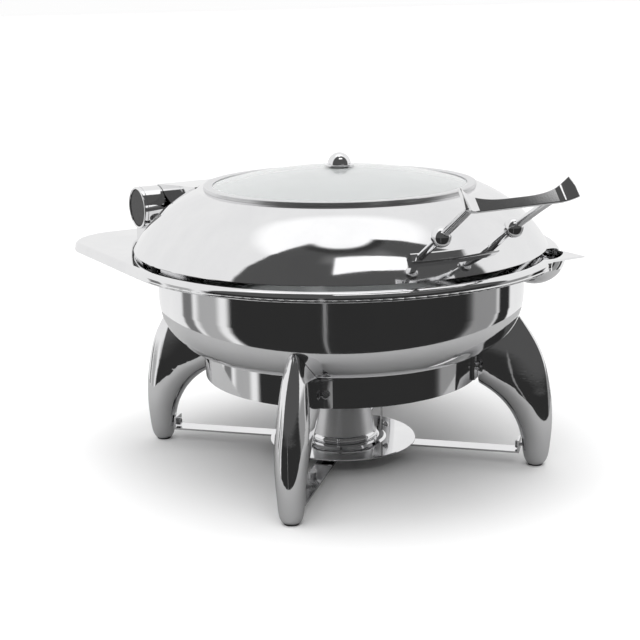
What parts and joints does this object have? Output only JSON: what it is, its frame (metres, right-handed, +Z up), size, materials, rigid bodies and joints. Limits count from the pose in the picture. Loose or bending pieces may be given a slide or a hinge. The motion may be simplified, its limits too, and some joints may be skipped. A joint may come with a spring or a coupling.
{
  "type": "roll top chafer",
  "caption": "Round food warmer on curved legs: a water pan and food pan under a hinged domed lid with a glass window, over a burner plate with a fuel holder.",
  "frame": {"origin": "bottom centre of the closed chafer's box, on the surface it stands on", "axes": "+Z up, +Y from the lid's handle at the front to the hinge at the back, +X to the user's right"},
  "size_m": [0.488, 0.5662, 0.3492],
  "materials": {
    "polished_steel": "mirror-polished stainless steel",
    "satin_steel": "satin stainless steel",
    "fastener_steel": "plain stainless steel",
    "rubber": "matt black rubber",
    "black_plastic": "gloss black plastic",
    "glass": "clear tempered glass"
  },
  "bodies": {
    "base": {"water_pan": "polished_steel", "deck": "polished_steel", "spoon_rest": "polished_steel", "food_pan": "satin_steel", "support_ring": "polished_steel", "leg_front_left": "polished_steel", "leg_front_right": "polished_steel", "leg_rear_right": "polished_steel", "leg_rear_left": "polished_steel", "leg_saddles": "polished_steel", "saddle_bolts": "fastener_steel", "foot_glides": "rubber", "cross_bar_lower": "polished_steel", "cross_bar_upper": "polished_steel", "bar_bolts": "fastener_steel", "burner_plate": "polished_steel", "plate_screw": "fastener_steel", "hinge_bracket_left": "polished_steel", "hinge_bracket_right": "polished_steel", "hinge_housing_left": "polished_steel", "hinge_housing_right": "polished_steel", "hinge_bezel_left": "polished_steel", "hinge_bezel_right": "polished_steel", "hinge_cap_left": "black_plastic", "hinge_cap_right": "black_plastic", "hinge_damper_left": "black_plastic", "hinge_damper_right": "black_plastic", "hinge_shaft": "fastener_steel", "bracket_screws": "fastener_steel", "lid_bumpers": "rubber"},
    "lid": {"lid_dome": "polished_steel", "window_ring": "satin_steel", "window_gasket": "rubber", "window_glass": "glass", "window_knob": "polished_steel", "knob_washer": "rubber", "knob_screw": "fastener_steel", "hinge_barrel": "polished_steel", "hinge_hood": "polished_steel", "handle_bar": "polished_steel", "handle_rods": "polished_steel", "handle_balls": "polished_steel", "handle_grip": "polished_steel", "handle_screws": "fastener_steel"},
    "fuel_holder": {"fuel_holder": "satin_steel", "fuel_foot_ring": "polished_steel", "fuel_holder_handle": "polished_steel", "fuel_cover_pin": "fastener_steel"},
    "fuel_cover": {"fuel_cover": "polished_steel", "fuel_cover_knob": "polished_steel"}
  },
  "joints": [
    {"name": "lid_hinge", "type": "hinge", "parent": "base", "child": "lid", "pos_m": [0, 0.23912, 0.275], "axis": [-1, 0, 0], "range_deg": [0, 90]},
    {"name": "fuel_holder_lift", "type": "slide", "parent": "base", "child": "fuel_holder", "axis": [0, 0, 1], "range_m": [0, 0.03]},
    {"name": "fuel_cover_swing", "type": "hinge", "parent": "fuel_holder", "child": "fuel_cover", "pos_m": [-0.03129, 0.05792, 0.065], "axis": [0, 0, 1], "range_deg": [0, 100]}
  ]
}
